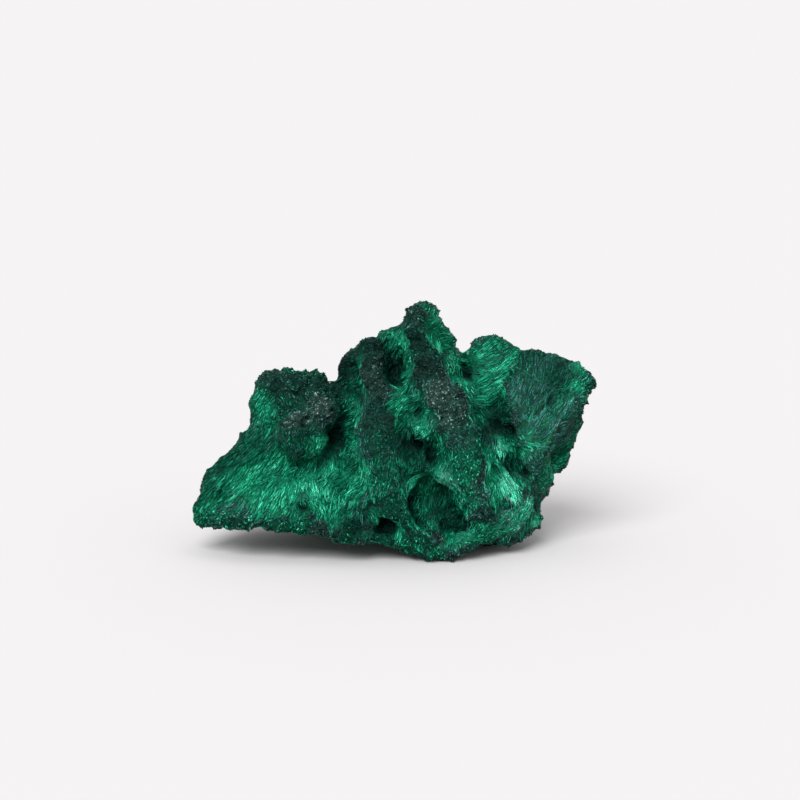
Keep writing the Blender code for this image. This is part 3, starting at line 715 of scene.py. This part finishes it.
def mark_pits_and_folds(skin, picture):
    """Paints shade into the pits, paints light and shade along the folds, and notes how far each vertex
    is sunk.
    """
    skin.sunk = np.zeros(len(skin.points))
    for pit in PITS.values():
        share = np.exp(-((picture.gap_from(pit) / pit.reach) ** PIT_SHARPNESS)) * picture.facing
        # painted shade in the pit
        skin.tone *= 1.0 - PIT_SHADE * share
        skin.sunk = np.maximum(skin.sunk, PIT_DEPTH * pit.reach * share)
    for fold in FOLDS.values():
        share = np.exp(-picture.gap_from_line(fold.line) / fold.width**2) * picture.facing
        skin.sunk -= fold.height * share
        # painted light along raised folds and painted shade along sunk ones
        skin.tone += fold.tone * share


def draw_in(skin, box):
    """Moves the body in by the fibres' depth and gives it a fine grain."""
    grain = clouds(skin.points, GRAIN_PER_MM)
    grain += FINE_GRAIN_SHARE * clouds(skin.points, FINE_GRAIN_PER_MM)
    height = GRAIN_HEIGHT * (1.0 + CREST_GRAIN * ramp(skin.stand, *ROUGH_SPAN))
    skin.points = skin.points + skin.normals * (height * grain - INSET - skin.sunk)[:, None]
    skin.points = np.clip(skin.points, np.array(box[0]) / MM, np.array(box[1]) / MM)
    skin.mesh.vertices.foreach_set("co", (skin.points * MM).astype(np.float32).ravel())
    skin.mesh.update()
    skin.tree = BVHTree.FromPolygons(skin.points.tolist(), skin.triangles.tolist())


def tuft_path(tree, root, flow, up, length, rise, stand):
    """A tuft's steps from its root: it hugs the surface where it lies, and leaves it where it stands."""
    spot, way = root, flow
    step = length / STEPS
    path = []
    for k in range(1, STEPS + 1):
        spot = spot + way * step
        near, normal, _, _ = tree.find_nearest(spot)
        spot = spot.lerp(near, HUG)
        way = (way - way.dot(normal) * normal * HUG).normalized()
        lying = spot + normal * rise * (k / STEPS)
        standing = root + up * step * k
        path.append(lying.lerp(standing, stand**2))
    return path


def tufts(skin, rng):
    """The tufts' paths, STEPS + 1 points each, how high each rises and the chances its bundles share."""
    faces, weights = skin.scatter(int(skin.areas().sum() * TUFTS_PER_MM2), rng)
    points = skin.at(skin.points, faces, weights)
    count = len(points)
    normals = unit(skin.at(skin.normals, faces, weights))
    flow = unit(skin.at(skin.flow, faces, weights))
    side = np.cross(normals, flow)
    stand = skin.at(skin.stand, faces, weights)
    swing = TUFT_SWING * blend(SWING_LYING, SWING_STANDING, stand) * rng.normal(0.0, 1.0, count)
    flow = unit(flow * np.cos(swing)[:, None] + side * np.sin(swing)[:, None])
    length = LENGTH_SHARE * skin.at(skin.length, faces, weights) * rng.uniform(*LENGTH_RANGE, count)
    stand = np.clip(stand + rng.normal(0.0, STAND_SPREAD, count), 0.0, 1.0)
    up = unit(normals + PILE_SLANT * flow + rng.normal(0.0, PILE_SPREAD, (count, 3)))
    rise = blend(RISE_LOW, RISE_HIGH, np.minimum(stand * 2.0, 1.0))
    rise *= np.exp(RISE_SPREAD * rng.normal(0.0, 1.0, count).clip(-RISE_LIMIT, RISE_LIMIT))
    paths = np.empty((count, STEPS + 1, 3))
    paths[:, 0] = points
    for i in range(count):
        start = Vector(points[i]), Vector(flow[i]), Vector(up[i])
        paths[i, 1:] = tuft_path(skin.tree, *start, length[i], float(rise[i]), float(stand[i]))
    return paths, rise, rng.normal(0.0, 1.0, (count, 2))


def settle(tree, middles, tips, highest):
    """Brings each tip down to its greatest height over the surface and each middle to a part of that,
    and returns the surface's normals at the middles."""
    normals = np.empty_like(middles)
    for i, limit in enumerate(highest):
        near, _, _, apart = tree.find_nearest(Vector(tips[i]))
        if apart > limit:
            tips[i] = near.lerp(Vector(tips[i]), limit / apart)
        near, normal, _, _ = tree.find_nearest(Vector(middles[i]))
        normals[i] = normal
        lift = max(LEAST_LIFT * limit, (Vector(middles[i]) - near).dot(normal) * MIDDLE_SINK)
        middles[i] = near + normal * min(lift, MOST_LIFT * limit)
    return normals


class Bundles:
    """Ridged bundles of fibres: a root and a middle of three corners each, and a tip."""

    def __init__(self, skin, count, tuft_data, rng, box):
        self.low, self.high = np.array(box[0]) / MM, np.array(box[1]) / MM
        paths, rise, chance = tuft_data
        faces, weights = skin.scatter(count, rng)
        roots = skin.at(skin.points, faces, weights)
        flow = unit(skin.at(skin.flow, faces, weights))
        stand = skin.at(skin.stand, faces, weights)
        back = rng.uniform(*BACK_RANGE, count)[:, None] * (1.0 - stand)[:, None]
        mine = nearest(paths[:, 0], roots + flow * back)
        path = paths[mine]
        own = roots - path[:, 0]
        gather = np.clip(GATHER + GATHER_SPREAD * chance[mine, 1], *GATHER_LIMITS)[:, None]
        reach = rng.uniform(*REACH_RANGE, count)[:, None]
        middles = path[:, 0] + (path[:, MIDDLE_STEP] - path[:, 0]) * reach * MIDDLE_SHARE
        middles += own * (1 - gather * 0.5)
        tips = path[:, 0] + (path[:, -1] - path[:, 0]) * reach + own * (1 - gather)
        tips += rng.normal(0.0, TIP_SPREAD, (count, 3))
        highest = TIP_HEIGHT * rng.uniform(*TIP_RANGE, count) + rise[mine]
        normals = settle(skin.tree, middles, tips, highest)

        kept = (tips[:, 2] > LOWEST_TIP) & (roots[:, 2] > LOWEST_ROOT)
        kept &= ((tips > self.low - BOX_MARGIN) & (tips < self.high + BOX_MARGIN)).all(axis=1)
        kept &= np.linalg.norm(tips - roots, axis=1) > SHORTEST
        self.tip, self.stand = tips[kept], stand[kept]
        self.shape(roots[kept], middles[kept], normals[kept], rng)
        self.dye(skin, roots[kept], faces[kept], weights[kept], chance[mine[kept], 0], rng)

    def shape(self, roots, middles, normals, rng):
        """Sets the corners round the roots and middles: standing bundles are wide and blunt nubs."""
        count, stand = len(roots), self.stand
        along = unit(self.tip - roots)
        across = unit(np.cross(normals, along))
        top = unit(np.cross(along, across))
        wide = blend(BUNDLE_WIDTH, NUB_WIDTH, stand**2) * rng.uniform(*WIDTH_RANGE, count) / 2
        tall = wide * rng.uniform(*RIDGE_RANGE, count) * blend(LYING_RIDGE, 1.0, stand)
        skew = rng.uniform(*SKEW_RANGE, count)

        def ring(centre, share):
            w, t = (wide * share)[:, None], (tall * share)[:, None]
            left = centre + across * w - top * t
            right = centre - across * w - top * t
            ridge = centre + across * w * skew[:, None] + top * t
            return [left, right, ridge]

        blunt = (stand**2)[:, None]
        middles = blend(middles, roots + (self.tip - roots) * BLUNT_MIDDLE, blunt)
        self.root = ring(roots - normals * ROOT_DEPTH, blend(LYING_ROOT, 1.0, stand))
        self.middle = ring(middles, blend(1.0, NUB_MIDDLE, stand))
        self.top = top

    def dye(self, skin, roots, faces, weights, tuft_chance, rng):
        """Sets each bundle's tone, its band of the palette and how much painted light and shade its
        faces get.
        """
        count, stand = len(roots), self.stand
        own_lean = blend(BUNDLE_LEAN, NUB_LEAN, stand**2) * rng.normal(0.0, 1.0, count)
        lean = TUFT_LEAN * tuft_chance + own_lean
        tone = skin.at(skin.tone, faces, weights)
        grey = skin.at(skin.grey, faces, weights)
        self.strength = np.sqrt(2.0 * tone.clip(LEAST_TONE, 1.0))
        self.strength *= 1.0 - EVEN_SHARE * grey * (1.0 - stand)
        self.tone = tone + (lean + GRIT * clouds(roots, GRIT_PER_MM) * stand) * self.strength
        self.band = (rng.random(count) < 2.0 * grey).astype(int) + (rng.random(count) < 2.0 * grey - 1.0)
        self.face_light_shade = FACET_LIGHT_SHADE * rng.normal(0.0, 1.0, count) * self.strength

    def add(self, name, corners, shape, heights, tone, band, material):
        """A piece of small solids with this shape, inside the solid's box."""
        starts = np.array([GREEN.start, DULL.start, GREY.start])[band][:, None]
        ends = np.array([GREEN.end, DULL.end, GREY.end])[band][:, None]
        palette = blend(starts + BAND_EDGE, ends - BAND_EDGE, np.clip(tone, 0.0, 1.0))
        corners = np.clip(np.stack(corners, axis=1), self.low, self.high)
        return add_piece(name, corners, np.array(shape), np.array(heights), palette, material)

    def piece(self, name, chosen, material):
        """A piece with these bundles, ten faces each."""
        corners = [a[chosen] for a in (*self.root, *self.middle, self.tip)]
        # painted light on the faces marked 1 in BUNDLE_LIT and painted shade on those marked -1
        tone = self.tone[chosen][:, None] + self.face_light_shade[chosen][:, None] * np.array(BUNDLE_LIT)
        return self.add(name, corners, BUNDLE_SHAPE, BUNDLE_HEIGHTS, tone, self.band[chosen], material)

    def place(self, chosen, along, across):
        """Points on the bundles' upper faces: root to tip along, left edge to right edge across."""
        rings = []
        for left, right, ridge in (self.root, self.middle):
            left, right, ridge = left[chosen], right[chosen], ridge[chosen]
            side = np.where(across[:, None] < 0.0, left, right)
            rings.append(blend(ridge, side, np.abs(across)[:, None]))
        along = along[:, None]
        near = blend(rings[0], rings[1], along * 2.0)
        far = blend(rings[1], self.tip[chosen], along * 2.0 - 1.0)
        return np.where(along < 0.5, near, far)

    def needles(self, name, count, rng, material):
        """A piece of straight needles that lie on the bundles, four faces each."""
        share = np.cumsum(1.0 - NEEDLE_FEWER_STANDING * self.stand**2)
        chosen = np.searchsorted(share, rng.random(count) * share[-1])
        across = rng.uniform(-NEEDLE_ACROSS, NEEDLE_ACROSS, count)
        start = rng.uniform(*NEEDLE_START_RANGE, count)
        end = start + rng.uniform(*NEEDLE_LENGTH_RANGE, count)
        end = np.minimum(end, rng.uniform(*NEEDLE_END_RANGE, count))
        top = self.top[chosen]
        lift = top * rng.uniform(0.0, NEEDLE_LIFT, count)[:, None]
        roots = self.place(chosen, start, across) - top * NEEDLE_SINK
        tips = self.place(chosen, end, across * NEEDLE_CLOSING) + lift
        axis = unit(tips - roots)
        side = unit(np.cross(axis, unit(rng.normal(0.0, 1.0, (count, 3)))))
        other = np.cross(axis, side)
        radius = (NEEDLE_RADIUS * rng.uniform(*NEEDLE_RADIUS_RANGE, count))[:, None]
        corners = []
        for k in range(3):
            turn = 2.0 * math.pi * k / 3
            corners.append(roots + radius * (math.cos(turn) * side + math.sin(turn) * other))
        corners.append(tips)
        # painted glints: a share of the needles is made lighter
        glint = GLINT_LEAN * (rng.random(count) < GLINT_SHARE)
        lean = (glint + NEEDLE_LEAN * rng.normal(0.0, 1.0, count)) * self.strength[chosen]
        tone = np.repeat((self.tone[chosen] + lean)[:, None], len(NEEDLE_SHAPE), axis=1)
        return self.add(name, corners, NEEDLE_SHAPE, NEEDLE_HEIGHTS, tone, self.band[chosen], material)


def add_piece(name, corners, shape, heights, palette, material):
    """A mesh of many small solids of one shape. Each face gets a narrow strip of the map: its place
    in the palette across, and root to tip up."""
    count, per = corners.shape[:2]
    triangles = (np.arange(count)[:, None, None] * per + shape[None]).reshape(-1, 3)
    mesh = bpy.data.meshes.new(name)
    mesh.vertices.add(count * per)
    mesh.vertices.foreach_set("co", (corners * MM).astype(np.float32).ravel())
    mesh.loops.add(triangles.size)
    mesh.loops.foreach_set("vertex_index", triangles.astype(np.int32).ravel())
    mesh.polygons.add(len(triangles))
    mesh.polygons.foreach_set("loop_start", np.arange(0, triangles.size, 3, dtype=np.int32))
    mesh.update(calc_edges=True)

    tall = heights[shape]
    tall[np.ptp(tall, axis=1) == 0.0] += (0.0, 0.0, LEVEL_RISE)
    u = palette[..., None] * (1 - STRIP_WIDTH) + np.array([0.0, 1.0, 0.5]) * STRIP_WIDTH
    v = np.broadcast_to(tall[None], u.shape)
    uv = np.stack([u, v], axis=-1).astype(np.float32)
    layer = mesh.uv_layers.new(name="OFBake")
    layer.data.foreach_set("uv", uv.ravel())
    mesh.materials.append(material)
    mesh.validate()
    return add_object(name, mesh)


def new_material(name, roughness, specular):
    """A material with this finish, its node tree and its shader."""
    material = bpy.data.materials.new(name)
    material.use_nodes = True
    tree = material.node_tree
    shader = tree.nodes["Principled BSDF"]
    shader.inputs["Roughness"].default_value = roughness
    shader.inputs["Specular IOR Level"].default_value = specular
    return material, tree, shader


def add_node(tree, kind, inputs=None, **settings):
    """A shader node with these settings and input values."""
    node = tree.nodes.new(f"ShaderNode{kind}")
    for name, value in settings.items():
        setattr(node, name, value)
    for name, value in (inputs or {}).items():
        node.inputs[name].default_value = value
    return node


def wire(tree, links):
    """Links nodes, each link given as a node, its output, the next node and its input."""
    for start, output, end, target in links:
        tree.links.new(start.outputs[output], end.inputs[target])


def fibre_material():
    """The palette's colour by the map across, with painted shade at the root by the map up, and
    speckled.
    """
    material, tree, shader = new_material("malachite_fibre", FIBRE_ROUGHNESS, FIBRE_SPECULAR)
    shader.inputs["Specular Tint"].default_value = GLINT_COLOUR
    place = add_node(tree, "UVMap", uv_map="OFBake")
    split = add_node(tree, "SeparateXYZ")
    colours = add_node(tree, "ValToRGB")
    stops = colours.color_ramp.elements
    stops[0].color = (*PALETTE[0][1], 1.0)
    stops[1].color = (*PALETTE[-1][1], 1.0)
    for at, colour in PALETTE[1:-1]:
        stops.new(at).color = (*colour, 1.0)
    # painted shade: the map up darkens the colour towards the root
    shade = add_node(tree, "MapRange", {"From Max": ROOT_REACH, "To Min": ROOT_SHADE, "To Max": 1.0})
    spot = add_node(tree, "TexCoord")
    grain = add_node(tree, "TexNoise", {"Scale": SPECKLE_SCALE, "Detail": SPECKLE_DETAIL})
    low, high = SPECKLE_SPAN
    speckle = add_node(tree, "MapRange", {"From Min": low, "From Max": high, "To Min": -1.0})
    bands = {"From Min": GREY.end, "From Max": GREEN.start, "To Min": GREY_SPECKLE, "To Max": SPECKLE}
    amount = add_node(tree, "MapRange", bands)
    spotted = add_node(tree, "Math", {2: 1.0}, operation="MULTIPLY_ADD")
    both = add_node(tree, "Math", operation="MULTIPLY")
    mix = add_node(tree, "Mix", {"Factor": 1.0}, data_type="RGBA", blend_type="MULTIPLY")
    wire(tree, [
        (spot, "Object", grain, "Vector"),
        (grain, "Fac", speckle, "Value"),
        (split, "X", amount, "Value"),
        (speckle, "Result", spotted, 0),
        (amount, "Result", spotted, 1),
        (spotted, "Value", both, 0),
        (shade, "Result", both, 1),
        (place, "UV", split, 0),
        (split, "X", colours, "Fac"),
        (split, "Y", shade, "Value"),
        (colours, "Color", mix, "A"),
        (both, "Value", mix, "B"),
        (mix, "Result", shader, "Base Color"),
    ])
    return material


def body_material():
    """The body's colour with its painted shade, and a fine dark grain."""
    material, tree, shader = new_material("malachite_body", BODY_ROUGHNESS, BODY_SPECULAR)
    shader.inputs["Specular Tint"].default_value = GLINT_COLOUR
    place = add_node(tree, "TexCoord")
    grain = add_node(tree, "TexNoise", {"Scale": BODY_GRAIN_SCALE, "Detail": BODY_GRAIN_DETAIL})
    low, high = BODY_GRAIN_SPAN
    shade = add_node(tree, "MapRange", {"From Min": low, "From Max": high, "To Min": BODY_GRAIN_DARK})
    tone_and_shade = add_node(tree, "VertexColor", layer_name="tone_and_shade")
    mix = add_node(tree, "Mix", {"Factor": 1.0}, data_type="RGBA", blend_type="MULTIPLY")
    wire(tree, [
        (place, "Object", grain, "Vector"),
        (grain, "Fac", shade, "Value"),
        (tone_and_shade, "Color", mix, "A"),
        (shade, "Result", mix, "B"),
        (mix, "Result", shader, "Base Color"),
    ])
    return material


def palette_colours(values):
    """The palette's colours at these places."""
    places = [at for at, _ in PALETTE]
    channels = zip(*(colour for _, colour in PALETTE))
    return np.stack([np.interp(values, places, channel) for channel in channels], axis=1)


def make_body(skin):
    """The body as a piece, its vertices coloured by tone and greyness and darkened by BODY_SHADE as
    painted shade.
    """
    tone = np.clip(skin.tone, 0.0, 1.0)
    green = palette_colours(blend(GREEN.start, GREEN.end, tone))
    grey = palette_colours(blend(GREY.start, GREY.end, tone))
    shades = np.ones((len(skin.points), 4), np.float32)
    # painted shade: BODY_SHADE darkens the body so the gaps between fibres read dark
    shades[:, :3] = BODY_SHADE * blend(green, grey, skin.grey[:, None])
    tone_and_shade = skin.mesh.color_attributes.new("tone_and_shade", "FLOAT_COLOR", "POINT")
    tone_and_shade.data.foreach_set("color", shades.ravel())
    skin.mesh.materials.clear()
    skin.mesh.materials.append(body_material())
    skin.mesh.shade_smooth()
    return add_object("stone_body", skin.mesh)


def add_floor():
    half = FLOOR_SIZE / 2
    corners = [(-half, -half, 0), (half, -half, 0), (half, half, 0), (-half, half, 0)]
    mesh = bpy.data.meshes.new("floor")
    mesh.from_pydata(corners, [], [(0, 1, 2, 3)])
    paper, _, shader = new_material("pale_floor", FLOOR_ROUGHNESS, FLOOR_SPECULAR)
    shader.inputs["Base Color"].default_value = FLOOR_COLOUR
    mesh.materials.append(paper)
    floor = add_object("floor", mesh)


def add_sky():
    """An even pale sky, which looks brighter to the camera than it lights the stone."""
    world = bpy.data.worlds.new("studio")
    bpy.context.scene.world = world
    world.use_nodes = True
    tree = world.node_tree
    sky = tree.nodes["Background"]
    sky.inputs["Color"].default_value = SKY_COLOUR
    sky.inputs["Strength"].default_value = SKY_STRENGTH
    backdrop = add_node(tree, "Background", {"Color": SKY_COLOUR, "Strength": SKY_SEEN})
    ray = add_node(tree, "LightPath")
    either = add_node(tree, "MixShader")
    wire(tree, [
        (ray, "Is Camera Ray", either, 0),
        (sky, "Background", either, 1),
        (backdrop, "Background", either, 2),
        (either, "Shader", tree.nodes["World Output"], "Surface"),
    ])


def add_lamps():
    for name, lamp in LAMPS.items():
        light = bpy.data.lights.new(name, "SUN")
        light.energy = lamp.strength
        light.angle = lamp.angle
        holder = add_object(name, light)
        holder.rotation_mode = "QUATERNION"
        holder.rotation_quaternion = Vector(lamp.comes_from).to_track_quat("Z", "Y")


def main():
    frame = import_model()
    solid_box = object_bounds()
    view = add_camera()
    add_floor()
    add_sky()
    add_lamps()
    bpy.context.scene.view_settings.view_transform = "Standard"

    node = frame["nodes"]["malachite_stone"]
    skin = Skin(fine_copy(node))
    picture = Picture(skin, view)
    lay_patches(skin, picture)
    shade_hollows(skin, node)
    mark_pits_and_folds(skin, picture)
    draw_in(skin, solid_box)
    pieces = [make_body(skin)]

    rng = np.random.default_rng(SEED)
    material = fibre_material()
    count = BUNDLE_PIECES * BUNDLES_PER_PIECE
    bundles = Bundles(skin, count, tufts(skin, rng), rng, solid_box)
    for i in range(BUNDLE_PIECES):
        chosen = slice(i, None, BUNDLE_PIECES)
        pieces.append(bundles.piece(f"fibre_bundles_{i + 1}", chosen, material))
    for i in range(NEEDLE_PIECES):
        pieces.append(bundles.needles(f"fibres_{i + 1}", NEEDLES_PER_PIECE, rng, material))

    for piece in pieces:
        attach(piece, "root")
        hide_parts("malachite_stone")


main()
